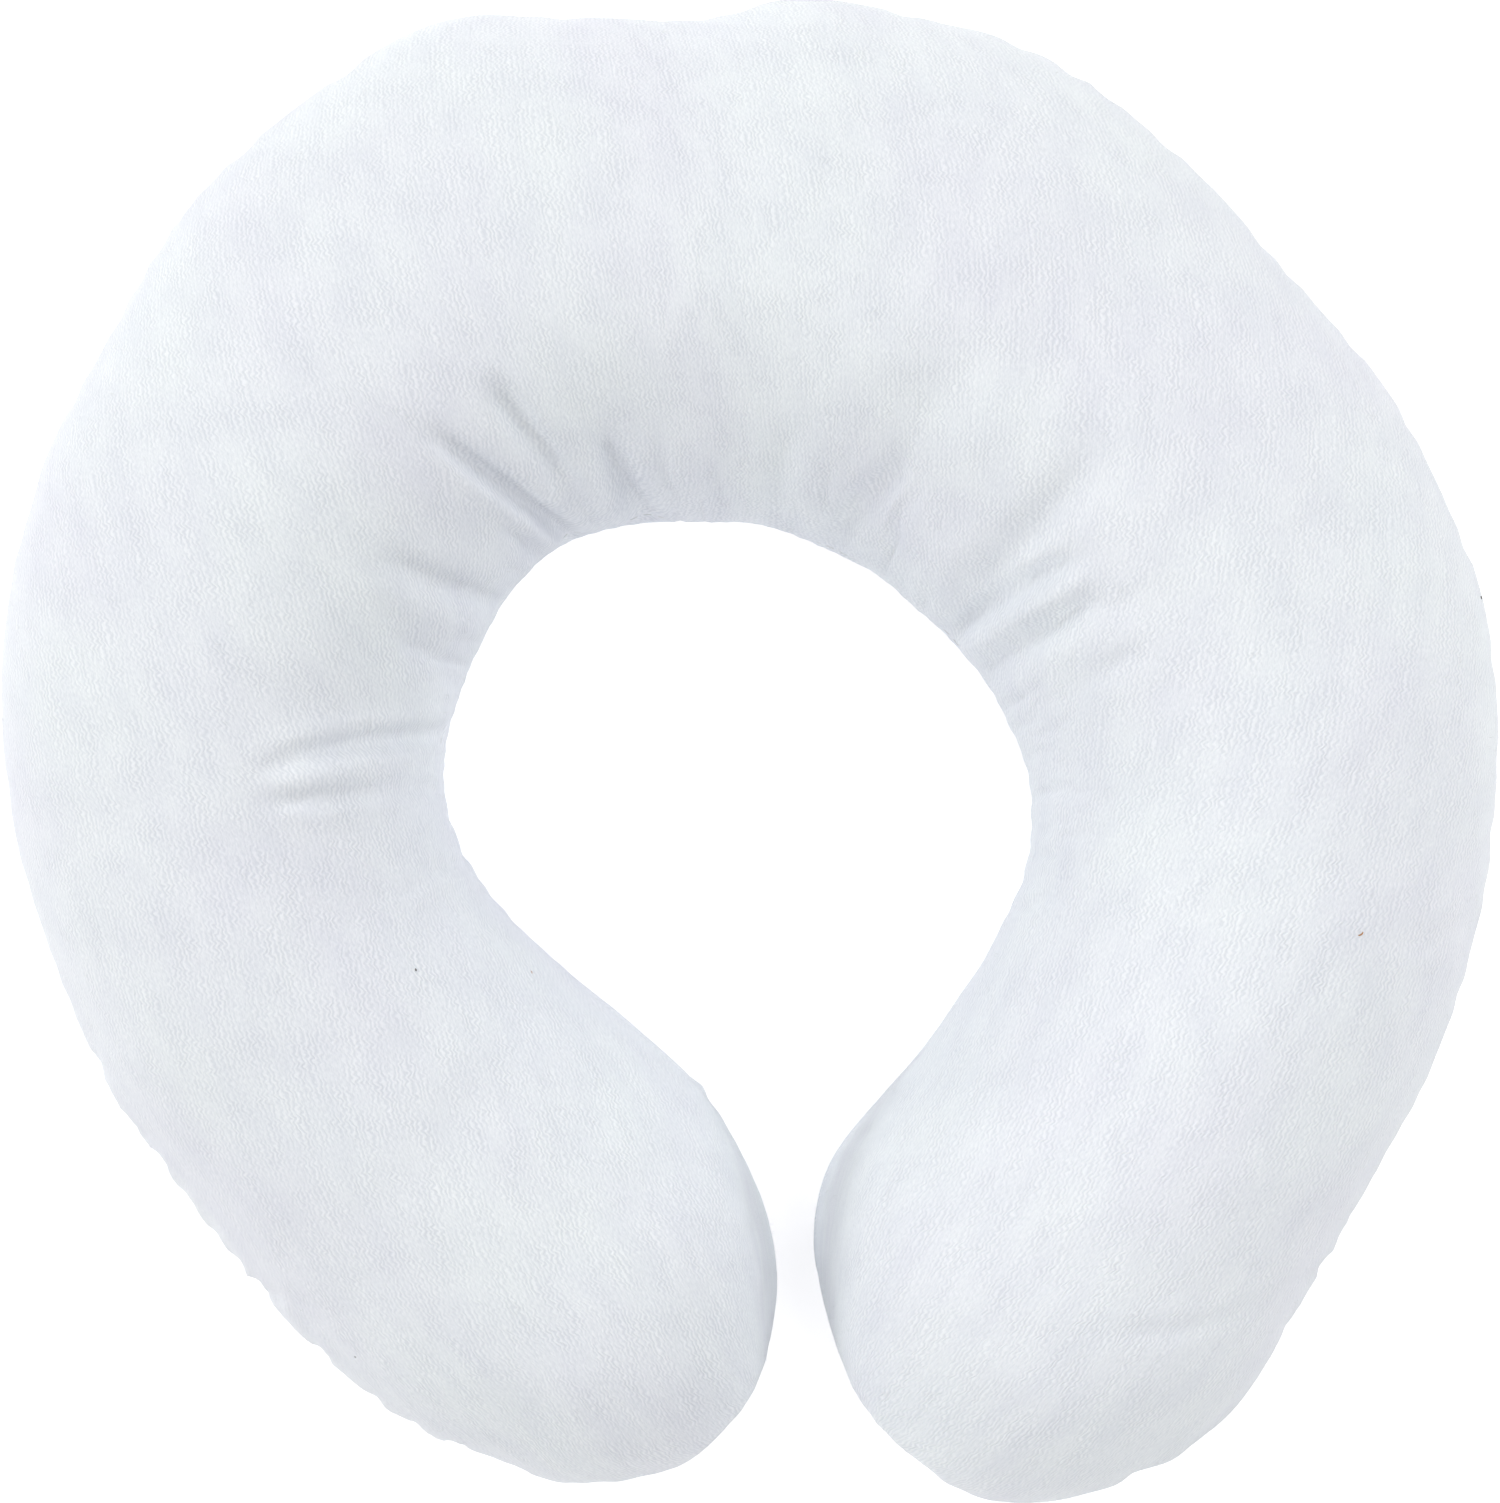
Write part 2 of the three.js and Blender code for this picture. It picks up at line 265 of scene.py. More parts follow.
# Specks of lint that have settled on the cloth: where, how long and thick, in millimetres, which way they
# lie and how far they curl, in degrees, and their kind.
LINT_COLUMNS = ("x", "y", "length", "thickness", "turn", "curl", "kind")
LINT = (
    (122.2, -36.6, 1.5, 0.26, 22, 50, "brown"),
    (-44.7, -45.4, 0.7, 0.14, 70, 30, "brown"),
    (-67.1, -44.0, 0.6, 0.34, 95, 40, "grey"),
    (150.3, 31.5, 0.7, 0.30, 60, 30, "grey"),
    (-80.4, -123.6, 0.5, 0.16, 10, 20, "grey"),
)
# A speck's steps along and round, how much of its radius it is lifted by, and a height above everything.
LINT_STEPS = 12
LINT_AROUND = 8
LINT_LIFT = 0.7
ABOVE_ALL = 0.2

# The knit: how much of the velour's relief its lines make, how far they wander, in lines, how deep the
# relief is, in millimetres, and how strongly it shades.
WALE_SHARE = 0.4
WALE_WANDER = 1.2
RELIEF_DEPTH = 0.2
RELIEF_STRENGTH = 0.5
# Its blotches, across and along the lines: where the lines stand up, single fibres, clouds where the pile
# is brushed, and patches of lavender.
STANDING_BLOTCH = (5 * MM, 7 * MM)
FIBRE_BLOTCH = (0.35 * MM, 0.9 * MM)
CLOUD_BLOTCH = (9 * MM, 14 * MM)
LAVENDER_BLOTCH = (45 * MM, 55 * MM)
# How the lines lean in along the two arms: by how much, how much more in the lobes, over what half width
# the lean turns round at the back, below which place up the pillow, and within what way, in metres.
ARM_LEAN = 0.32
LOBE_LEAN = 5
LEAN_TURNS_OVER = 0.035
LEANS_BELOW = 0.12
LEANS_WITHIN = 0.08
LOBES_BELOW = -0.06
# Between the arms the lean turns round at once, in the middle of the mouth.
MOUTH_MIDDLE = 0.0095
MOUTH_FROM = 0.04
TURNS_AT_ONCE = 0.9
# How much closer the lines lie, most of all at the back, and how they skew up the pillow.
LINES_CLOSER = 0.95
BACK_SPREAD = 0.2
BACK_HALF_WIDTH = 0.06
SKEW_AT_BACK = 0.6
SKEW_EVERYWHERE = 0.04
SKEW_AT_LOBES = 0.09
# Loose fibres stand only above this height, in millimetres, so that none goes into the floor. Each is a
# curve of these points in lengths, tilted at random by this many radians, of a length between these shares.
FIBRES_ABOVE = 6
FIBRE_CURVE = ((0, 0, -0.1), (0, 0, 0.35), (0.35, 0, 0.62), (0.8, 0, 0.5))
FIBRE_TILT = 0.3
FIBRE_SHORTEST = 0.6
FIBRE_LONGEST = 1.25
FIBRE_SEED = 7


def linear(hex_colour):
    """An sRGB hex colour as linear red, green, blue and alpha."""
    parts = [int(hex_colour[i : i + 2], 16) / 255 for i in (1, 3, 5)]
    return tuple(c / 12.92 if c <= 0.04045 else ((c + 0.055) / 1.055) ** 2.4 for c in parts) + (1.0,)


def length(name, description, size):
    """A property that holds a length."""
    return FloatProperty(name=name, description=description, default=size, unit="LENGTH", precision=5)


def colour(name, description, hex_colour):
    """A property that holds a colour."""
    return FloatVectorProperty(
        name=name, description=description, subtype="COLOR", size=4, default=linear(hex_colour)
    )


class PillowSizes(bpy.types.PropertyGroup):
    """Sizes of the pillow's sewing and cloth."""

    seam_dip: length("Seam dip", "How far the seam lies inside the panels", 1.25 * MM)
    swell_cap: length("Swell cap", "Farthest that the stuffing may push the cloth", 7 * MM)
    pucker_pitch: length("Pucker pitch", "Mean distance between puckers along the seam", 9 * MM)
    wale_pitch: length("Wale pitch", "Distance between the knit's lines", 1.1 * MM)
    tuft_length: length("Tuft length", "Length of a lying tuft of pile", 0.95 * MM)
    stitch_pitch: length("Stitch pitch", "Distance between stitches of the seam", 3.0 * MM)
    stitch_length: length("Stitch length", "Length of thread that shows in a stitch", 1.9 * MM)
    thread_thickness: length("Thread thickness", "Diameter of the thread", 0.3 * MM)
    fibre_length: length("Fibre length", "Length of a loose pile fibre", 1.3 * MM)
    fibre_thickness: length("Fibre thickness", "Diameter of a loose fibre", 0.06 * MM)
    fibre_count: IntProperty(
        name="Loose fibres", description="Loose pile fibres on each square decimetre", default=260, min=0
    )


class PillowColours(bpy.types.PropertyGroup):
    """Colours of the pillow's cloth and of what has settled on it."""

    pile: colour("Pile", "Tips of the pile", "#F1F5F7")
    # Painted shade: the darker colour between the tufts stands in for the shade that falls into the pile.
    pile_painted_shade: colour("Pile shade", "Between the tufts", "#E1E6EA")
    brushed: colour("Brushed", "What the pile is tinted by where it was brushed another way", "#F9F9FB")
    lavender: colour("Lavender", "What the white is tinted by in broad, soft patches", "#FDFBFE")
    thread: colour("Thread", "Sewing thread", "#E4E6E8")
    lint_brown: colour("Brown lint", "Specks of brown lint", "#B88246")
    lint_grey: colour("Grey lint", "Specks of grey lint", "#6E6C6A")


def named(columns, rows):
    """The rows of a table, each as a dict under the names of its columns."""
    return [dict(zip(columns, row, strict=True)) for row in rows]


def smoothstep(value, low, high):
    """A soft step from 0 at low to 1 at high."""
    share = np.clip((value - low) / (high - low), 0, 1)
    return share * share * (3 - 2 * share)


def bell(distance, width):
    """1 at no distance, falling off over the width."""
    return np.exp(-((distance / width) ** 2))


def curve_through(points, t):
    """The centripetal Catmull-Rom curve through all points but the first and last, at t from 0 to 1."""
    last = len(points) - 3
    place = np.clip(t, 0, 1) * last
    k = np.minimum(place.astype(int), last - 1)
    w = (place - k)[:, None]
    p0, p1, p2, p3 = (points[k + i] for i in range(4))
    spans = ((p0, p1), (p1, p2), (p2, p3))
    d0, d1, d2 = (np.linalg.norm(b - a, axis=1, keepdims=True) ** 0.5 for a, b in spans)
    d1 = np.where(d1 < 1e-2, 1.0, d1)
    d0 = np.where(d0 < 1e-2, d1, d0)
    d2 = np.where(d2 < 1e-2, d1, d2)
    m1 = ((p1 - p0) / d0 - (p2 - p0) / (d0 + d1) + (p2 - p1) / d1) * d1
    m2 = ((p2 - p1) / d1 - (p3 - p1) / (d1 + d2) + (p3 - p2) / d2) * d1
    h = w * w * (3 - 2 * w)
    return p1 * (1 - h) + p2 * h + m1 * w * (1 - w) ** 2 + m2 * w * w * (w - 1)


def section_curves():
    """Functions of t, from 0 to 1 along the pillow: inner edge, outer edge, and seam height with rise."""
    sections = np.array(SECTIONS, float)
    inner, outer, heights = (
        sections[:, [SECTION_COLUMNS.index(name) for name in pair]]
        for pair in (("inner_x", "inner_y"), ("outer_x", "outer_y"), ("seam", "rise"))
    )
    falling = heights * (1, -1)
    pairs = ((inner, outer), (outer, inner), (heights, falling))
    return [partial(curve_through, np.vstack([b[1:2], a, b[-2:-1]])) for a, b in pairs]


def even_steps(inner_edge, outer_edge, count):
    """Values of t at even steps of the mean travel of the two edges, both tips included."""
    t = np.linspace(0, 1, MEASURE_STEPS + 1)
    travel = np.zeros_like(t)
    for edge in (inner_edge, outer_edge):
        travel[1:] += np.cumsum(np.linalg.norm(np.diff(edge(t), axis=0), axis=1)) / 2
    return np.interp(np.linspace(0, travel[-1], count + 1), travel, t)


def panel_angles():
    """Angles round a section: 0 at the outer seam, 90 degrees at the crown, 180 at the inner seam."""
    share = np.linspace(0, 1, PANEL_COLUMNS + 1)
    over = math.pi * share * (1 + CROWDING - CROWDING * share)
    return np.concatenate([over[:-1], 2 * math.pi - over[:0:-1]])


def smooth_form(slim):
    """The stuffed form as a grid of points, rows along the pillow and columns round each section.

    Column 0 is the outer seam, the crown comes next, then the inner seam and the underside. The first and
    last rows are the tips, each one point repeated. slim is the share by which the crown is held lower.
    """
    inner_edge, outer_edge, heights = section_curves()
    t = even_steps(inner_edge, outer_edge, ROWS)
    inner, outer, high = inner_edge(t), outer_edge(t), heights(t)
    angle = panel_angles()
    across, up = (np.sign(v) * np.abs(v) ** (2 / FULLNESS) for v in (np.cos(angle), np.sin(angle)))
    up = np.where(np.abs(up) < 1e-6, 0, up)
    middle, half = (inner + outer) / 2, (outer - inner) / 2
    width = 1 - slim * np.abs(up)
    grid = np.empty((ROWS + 1, 2 * PANEL_COLUMNS, 3))
    grid[:, :, :2] = middle[:, None] + half[:, None] * (across * width)[None, :, None]
    grid[:, :, 2] = high[:, :1] + high[:, 1:] * up * np.where(up > 0, 1, UNDER_SHARE) * (1 - slim)
    return fitted(grid), t


def fitted(grid):
    """The grid, in metres, moved and sized in plan to the solid's box."""
    low, high = (np.array(corner)[:2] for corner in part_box(NODE))
    flat = grid[:, :, :2].reshape(-1, 2)
    scale = (high - low)[0] / (flat.max(0) - flat.min(0))[0]
    middle = (flat.max(0) + flat.min(0)) / 2
    made = grid * MM
    made[:, :, :2] = (grid[:, :, :2] - middle) * scale + (high + low) / 2
    return made


def grid_faces(rows, around):
    """Quads of a grid whose first and last rows are single points, and triangles at those two tips."""
    inside = rows - 2
    i, j = np.meshgrid(np.arange(inside - 1), np.arange(around), indexing="ij")
    nxt = (j + 1) % around
    here, there = 1 + i * around, 1 + (i + 1) * around
    quads = np.stack([here + j, here + nxt, there + nxt, there + j], -1).reshape(-1, 4)
    j = np.arange(around)
    nxt = (j + 1) % around
    end = 1 + (inside - 1) * around
    first = np.stack([np.zeros_like(j), 1 + nxt, 1 + j], -1)
    last = np.stack([end + j, end + nxt, np.full_like(j, end + around)], -1)
    return quads, np.vstack([first, last])


def mesh_from_grid(name, grid):
    """A closed mesh of a grid's points."""
    rows, around = grid.shape[:2]
    points = np.vstack([grid[0, :1], grid[1:-1].reshape(-1, 3), grid[-1, :1]])
    quads, tips = grid_faces(rows, around)
    mesh = bpy.data.meshes.new(name)
    mesh.from_pydata(points.tolist(), [], quads.tolist() + tips.tolist())
    mesh.update()
    return mesh


def new_object(name, mesh):
    made = bpy.data.objects.new(name, mesh)
    bpy.context.scene.collection.objects.link(made)
    return made


def grid_from_points(points, rows, around):
    """The grid that a mesh was made from, with its points where they are now."""
    grid = np.empty((rows, around, 3))
    grid[0] = points[0]
    grid[-1] = points[-1]
    grid[1:-1] = points[1:-1].reshape(rows - 2, around, 3)
    return grid


def mesh_points(mesh):
    points = np.empty(3 * len(mesh.vertices))
    mesh.vertices.foreach_get("co", points)
    return points.reshape(-1, 3)


def panels(grid, unit):
    """For the upper and then the under panel, its columns, seam to seam, and the cloth up to each one."""
    rows, around = grid.shape[:2]
    half = around // 2
    for start in (0, half):
        columns = (start + np.arange(half + 1)) % around
        steps = np.linalg.norm(np.diff(grid[:, columns], axis=1), axis=2) / unit
        yield columns, np.concatenate([np.zeros((rows, 1)), np.cumsum(steps, axis=1)], axis=1)


def cloth_to_seams(grid):
    """Distances along the cloth, in millimetres, from each point to the outer and to the inner seam."""
    outer, inner = np.zeros((2, *grid.shape[:2]))
    near, far = outer, inner
    for columns, cloth in panels(grid, MM):
        near[:, columns[:-1]] = cloth[:, :-1]
        far[:, columns[:-1]] = (cloth[:, -1:] - cloth)[:, :-1]
        near, far = far, near
    return outer, inner


def looseness(grid):
    """How loosely the cover was cut at each point, from 0 to 1."""
    to_outer, to_inner = cloth_to_seams(grid)
    beside_rim = RIM_LOOSENESS * bell(to_outer, LOOSE_REACH_OUTER) * pucker_strength(grid)
    beside_hollow = bell(to_inner, LOOSE_REACH_INNER) * (1 - bell(to_inner, SEAM_HOLDS))
    beside_hollow *= smoothstep(grid[:, :, 1] / MM, TAUT_BELOW, LOOSE_ABOVE)
    return np.clip(np.maximum(beside_hollow, beside_rim), 0, 1)


def stuffed(grid, cap):
    """The grid after Blender's cloth has been blown up inside, with its seam held and its travel capped."""
    rows, around = grid.shape[:2]
    cover = new_object("cover_at_sewing", mesh_from_grid("cover_at_sewing", grid))
    vertex = 1 + np.arange(rows - 2)[:, None] * around + np.arange(around)[None, :]
    held, snug = (cover.vertex_groups.new(name=name) for name in ("held", "snug"))
    for group in (held, snug):
        group.add([0, len(cover.data.vertices) - 1], 1.0, "REPLACE")
    held.add(vertex[:, [0, around // 2]].ravel().tolist(), 1.0, "REPLACE")
    snugness = 1 - looseness(grid)[1:-1]
    for index, weight in zip(vertex.ravel().tolist(), snugness.ravel().tolist(), strict=True):
        snug.add([index], weight, "REPLACE")

    cloth = cover.modifiers.new("stuffing", "CLOTH")
    settings = cloth.settings
    settings.quality = 4
    settings.mass = VERTEX_MASS
    settings.tension_stiffness = settings.compression_stiffness = CLOTH_STIFFNESS
    settings.shear_stiffness = CLOTH_STIFFNESS / 3
    settings.bending_stiffness = CLOTH_BENDING
    settings.vertex_group_mass = "held"
    settings.vertex_group_shrink = "snug"
    settings.shrink_max = 0.0
    settings.shrink_min = -LOOSE_SHARE
    settings.use_pressure = True
    settings.uniform_pressure_force = STUFFING_PRESSURE
    settings.effector_weights.gravity = 0
    scene = bpy.context.scene
    for step in range(1, STUFFING_FRAMES + 1):
        scene.frame_set(step)
    blown = cover.evaluated_get(bpy.context.evaluated_depsgraph_get()).to_mesh()
    after = grid_from_points(mesh_points(blown), rows, around)
    scene.frame_set(1)
    bpy.data.objects.remove(cover)
    travel = after - grid
    far = np.linalg.norm(travel, axis=2, keepdims=True)
    to_tip = np.minimum(*(np.linalg.norm(grid - grid[tip, 0], axis=2, keepdims=True) for tip in (0, -1)))
    given = smoothstep(to_tip / MM, TIP_KEEPS, TIP_GIVES)
    return grid + travel * given * np.minimum(1, cap / np.maximum(far, 1e-9))


def halved(points):
    """The points with one more between each two, on a smooth curve. The first and last only steer it."""
    fine = np.empty((2 * len(points) - 5, *points.shape[1:]))
    fine[0::2] = points[1:-1]
    fine[1::2] = (9 * (points[1:-2] + points[2:-1]) - points[:-3] - points[3:]) / 16
    return fine


def refined(grid):
    """The grid with a row between each two rows, and a column between each two columns of each panel."""
    around = grid.shape[1]
    half = around // 2
    across_tip = np.roll(np.arange(around), half)
    taller = halved(np.concatenate([grid[1:2, across_tip], grid, grid[-2:-1, across_tip]]))
    made = []
    for start in (0, half):
        panel = taller[:, (start + np.arange(half + 1)) % around].swapaxes(0, 1)
        first = 3 * panel[:1] - 3 * panel[1:2] + panel[2:3]
        last = 3 * panel[-1:] - 3 * panel[-2:-1] + panel[-3:-2]
        made.append(halved(np.concatenate([first, panel, last]))[:-1])
    return np.concatenate(made).swapaxes(0, 1)


def grid_normals(grid):
    """Outward unit normals of a grid."""
    long = np.gradient(grid, axis=0)
    round_ = np.roll(grid, -1, axis=1) - np.roll(grid, 1, axis=1)
    normal = np.cross(round_, long)
    size = np.linalg.norm(normal, axis=2, keepdims=True)
    normal = normal / np.maximum(size, 1e-12)
    for tip, beside in ((0, 1), (-1, -2)):
        outward = normal[beside].mean(0)
        normal[tip] = outward / np.linalg.norm(outward)
    return normal


def along_crease(crease, x, y):
    """Signed distance to a crease's arc, left of it positive, and how far along it the nearest point lies."""
    steps = 16
    knots = np.array([(crease[f"{k}_x"], crease[f"{k}_y"]) for k in ("from", "via", "to")])
    ends = np.vstack([2 * knots[0] - knots[1], knots, 2 * knots[2] - knots[1]])
    points = curve_through(ends, np.linspace(0, 1, steps + 1))
    best = np.full(x.shape, np.inf)
    signed = np.zeros(x.shape)
    share = np.zeros(x.shape)
    for i in range(steps):
        (ax, ay), (bx, by) = points[i], points[i + 1]
        dx, dy = bx - ax, by - ay
        t = np.clip(((x - ax) * dx + (y - ay) * dy) / (dx * dx + dy * dy), 0, 1)
        off_x, off_y = x - ax - t * dx, y - ay - t * dy
        distance = np.hypot(off_x, off_y)
        nearer = distance < best
        best = np.where(nearer, distance, best)
        signed = np.where(nearer, np.where(dx * off_y - dy * off_x < 0, -distance, distance), signed)
        share = np.where(nearer, (i + t) / steps, share)
    return signed, share


def crease_relief(grid, seam):
    """How far the creases and rolls stand out of the smooth form, in millimetres, on the upper panel."""
    x, y, z = (grid[:, :, i] / MM for i in range(3))
    relief = np.zeros(x.shape)
    for crease in named(CREASE_COLUMNS, CREASES):
        distance, share = along_crease(crease, x, y)
        half_width = crease["half_width"]
        fade_in = smoothstep(share, 0, DEEPENS_BY)
        fade_out = 1 - (1 - crease["end"]) * smoothstep(share, EASES_FROM, 1)
        lift = np.where(distance > 0, crease["lift_left"], crease["lift_right"])
        roll = lift * bell(np.abs(distance) - ROLL_AWAY * half_width, ROLL_WIDTH * half_width)
        rounding = GROOVE_ROUND * half_width
        groove = np.exp((rounding - np.hypot(distance, rounding)) / half_width)
        relief += fade_in * fade_out * (roll - crease["depth"] * groove)
    return relief * smoothstep(z, seam - CREASE_BELOW, seam + CREASE_ABOVE)


def pucker_strength(grid):
    """How strongly the seam has gathered the cloth near each point, from the table of stretches."""
    x, y = grid[:, :, 0] / MM, grid[:, :, 1] / MM
    strength = np.full(x.shape, PUCKER_LEAST)
    for place in named(PUCKER_COLUMNS, PUCKERS):
        near = bell(np.hypot(x - place["x"], y - place["y"]), place["reach"])
        strength = np.maximum(strength, place["height"] * near)
    return strength


def pucker_relief(grid, seam, pitch):
    """Ridges and dents that the gathered seam leaves beside it, in millimetres."""
    wave = np.empty(grid.shape[:2])
    for index in np.ndindex(wave.shape):
        px, py, pz = grid[index]
        spot = Vector((px / pitch, py / pitch, PUCKER_UPRIGHT * pz / pitch))
        wave[index] = PUCKER_SHARE * noise.noise(spot) + PUCKER_SHARE * noise.noise(spot * FINER_PUCKERS)
    return PUCKER_SWING * pucker_strength(grid) * wave * bell(grid[:, :, 2] / MM - seam, PUCKER_REACH)


def lump_relief(grid):
    """Soft unevenness of the stuffing, in millimetres."""
    lumps = np.empty(grid.shape[:2])
    for index in np.ndindex(lumps.shape):
        spot = Vector(grid[index])
        lumps[index] = sum(high * noise.noise(spot / (wide * MM)) for high, wide in LUMPS)
    return lumps


def panel_layout(grid):
    """Each point's place on the flat panel that it was cut from, in metres, for the upper and under panel.

    A point lies off the middle of its section by its distance along the cloth from the crown. The knit's
    lines run towards the back, and bend with the two arms, as the cloth was pulled round when stuffed.
    """
    flats = []
    for columns, cloth in panels(grid, 1):
        first, last = grid[:, columns[:1], :2], grid[:, columns[-1:], :2]
        off_crown = cloth[:, -1:] / 2 - cloth
        direction = first - last
        direction = direction / np.maximum(np.linalg.norm(direction, axis=2, keepdims=True), 1e-9)
        flat = (first + last) / 2 + direction * off_crown[:, :, None]
        flats.append(along_grain(flat))
    return flats


def along_grain(flat):
    """Moves a place on the panel so that the knit's lines, up the second axis, bend as on the pillow."""
    x, y = flat[..., 0], flat[..., 1]
    in_lobe = np.clip(LOBES_BELOW - y, 0, None)
    in_arm = np.clip(LEANS_BELOW - y, 0, None)
    lean = ARM_LEAN * in_arm**2 / (in_arm + LEANS_WITHIN) + LOBE_LEAN * in_lobe**2 / 2
    between_arms = smoothstep(-y, -MOUTH_FROM, MOUTH_FROM)
    turns_over = LEAN_TURNS_OVER * (1 - TURNS_AT_ONCE * between_arms)
    side = np.tanh((x - MOUTH_MIDDLE * between_arms) / turns_over)
    closer = LINES_CLOSER * x + BACK_SPREAD * BACK_HALF_WIDTH * np.tanh(x / BACK_HALF_WIDTH)
    skew = SKEW_AT_BACK * np.clip(y, 0, None) ** 2 + SKEW_EVERYWHERE * y - SKEW_AT_LOBES * np.clip(y, None, 0)
    return np.stack([closer + side * lean + skew, y], -1)


def add_node(tree, kind, inputs=(), out=0, **settings):
    """Adds a node with its settings, sets or links its inputs by name or number, and gives one output."""
    made = tree.nodes.new(kind)
    for name, value in settings.items():
        setattr(made, name, value)
    for socket, value in dict(inputs).items():
        if isinstance(value, bpy.types.NodeSocket):
            tree.links.new(value, made.inputs[socket])
        else:
            made.inputs[socket].default_value = value
    return made.outputs[out] if made.outputs else None


def new_material(name):
    """A material with no nodes yet, and the function that adds one to it."""
    material = bpy.data.materials.new(name)
    material.use_nodes = True
    material.node_tree.nodes.clear()
    return material, partial(add_node, material.node_tree)


def velour_material(sizes, colours):
    """Short-pile polyester velour, knitted and sheared.

    To the eye it is matt and soft: faint broken lines of tufts along the knit, with painted shade darkening
    the colour between them, cloudy where the pile has been brushed another way, and with no highlight.
    """
    material, add = new_material("velour_knitted_sheared")
    panel = add("ShaderNodeUVMap", uv_map="panel")

    def blotches(size, detail):
        inputs = {0: panel, 1: (1 / size[0], 1 / size[1], 1)}
        space = add("ShaderNodeVectorMath", inputs, operation="MULTIPLY")
        inputs = {"Vector": space, "Scale": 1.0, "Detail": detail, "Roughness": 0.6}
        return add("ShaderNodeTexNoise", inputs, noise_dimensions="2D")

    across = add("ShaderNodeSeparateXYZ", {0: panel})
    wander = blotches((2 * sizes.wale_pitch, sizes.tuft_length), 0.0)
    turns = add("ShaderNodeMath", {0: wander, 1: WALE_WANDER}, operation="MULTIPLY")
    inputs = {0: across, 1: 1 / sizes.wale_pitch, 2: turns}
    turns = add("ShaderNodeMath", inputs, operation="MULTIPLY_ADD")
    angle = add("ShaderNodeMath", {0: turns, 1: 2 * math.pi}, operation="MULTIPLY")
    wales = add("ShaderNodeMath", {0: angle}, operation="SINE")
    inputs = {"Value": blotches(STANDING_BLOTCH, 1.0), "From Min": 0.3, "From Max": 0.7}
    standing = add("ShaderNodeMapRange", {**inputs, "To Min": 0.25, "To Max": 1.25})
    wales = add("ShaderNodeMath", {0: wales, 1: standing}, operation="MULTIPLY")
    inputs = {0: wales, 1: WALE_SHARE, 2: blotches(FIBRE_BLOTCH, 1.0)}
    height = add("ShaderNodeMath", inputs, operation="MULTIPLY_ADD")
    inputs = {"Height": height, "Strength": RELIEF_STRENGTH, "Distance": RELIEF_DEPTH * MM}
    bump = add("ShaderNodeBump", inputs)
    # The colour runs from the painted shade between the tufts, where the relief is low, to the pile's tips
    # where it is high.
    tone = add("ShaderNodeMapRange", {"Value": height, "From Min": 0.1, "From Max": 0.9})
    inputs = {0: tone, 6: tuple(colours.pile_painted_shade), 7: tuple(colours.pile)}
    shade = add("ShaderNodeMix", inputs, out=2, data_type="RGBA")
    for size, detail, low, high, tint in (
        (CLOUD_BLOTCH, 3.0, 0.35, 0.75, colours.brushed),
        (LAVENDER_BLOTCH, 1.0, 0.3, 0.7, colours.lavender),
    ):
        inputs = {"Value": blotches(size, detail), "From Min": low, "From Max": high}
        inputs = {0: add("ShaderNodeMapRange", inputs), 6: shade, 7: tuple(tint)}
        shade = add("ShaderNodeMix", inputs, out=2, data_type="RGBA", blend_type="MULTIPLY")
    shader = add(
        "ShaderNodeBsdfPrincipled",
        {
            "Base Color": shade,
            "Roughness": 0.95,
            "IOR": 1.45,
            "Specular IOR Level": 0.15,
            "Sheen Weight": 0.12,
            "Sheen Roughness": 0.45,
            "Normal": bump,
        },
    )
    add("ShaderNodeOutputMaterial", {"Surface": shader})
    return material


def press_flat(z):
    """Heights with all below the table pressed up to it, and eased into it."""
    blend = PRESS_BLEND * MM
    return np.where(z <= -blend, 0, np.where(z >= blend, z, (z + blend) ** 2 / (4 * blend)))


def cushion_form(sizes):
    """The stuffed and creased pillow as a fine grid of points."""
    grid, t = smooth_form(SLIM)
    seam = section_curves()[2](t)[:, :1]
    relief = FOLDED_BEFORE * crease_relief(grid, seam)
    relief += PUCKERED_BEFORE * pucker_relief(grid, seam, sizes.pucker_pitch)
    grid = grid + grid_normals(grid) * (relief * MM)[:, :, None]
    grid = stuffed(grid, sizes.swell_cap)
    grid = refined(grid)
    fine_t = np.interp(np.linspace(0, 1, grid.shape[0]), np.linspace(0, 1, len(t)), t)
    seam = section_curves()[2](fine_t)[:, :1]
    relief = (1 - FOLDED_BEFORE) * crease_relief(grid, seam)
    relief += (1 - PUCKERED_BEFORE) * pucker_relief(grid, seam, sizes.pucker_pitch)
    relief += lump_relief(grid)
    to_outer, to_inner = cloth_to_seams(grid)
    relief -= sizes.seam_dip / MM * bell(np.minimum(to_outer, to_inner), SEAM_VALLEY)
    return grid + grid_normals(grid) * (relief * MM)[:, :, None]


class PILLOW_OT_cushion(bpy.types.Operator):
    """Sews and stuffs the cushion, folds its creases and gives it its velour"""

    bl_idname = "neck_pillow.cushion"
    bl_label = "Cushion"

    def execute(self, context):
        sizes = context.scene.pillow_sizes
        grid = cushion_form(sizes)
        upper_flat, under_flat = panel_layout(grid)
        grid[:, :, 2] = press_flat(grid[:, :, 2])
        cushion = new_object("cushion", mesh_from_grid("cushion", grid))
        lay_out_panels(cushion.data, upper_flat, under_flat)
        cushion.data.materials.append(velour_material(sizes, context.scene.pillow_colours))
        cushion.data.shade_smooth()
        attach(cushion, BODY)
        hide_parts(NODE)
        return {"FINISHED"}


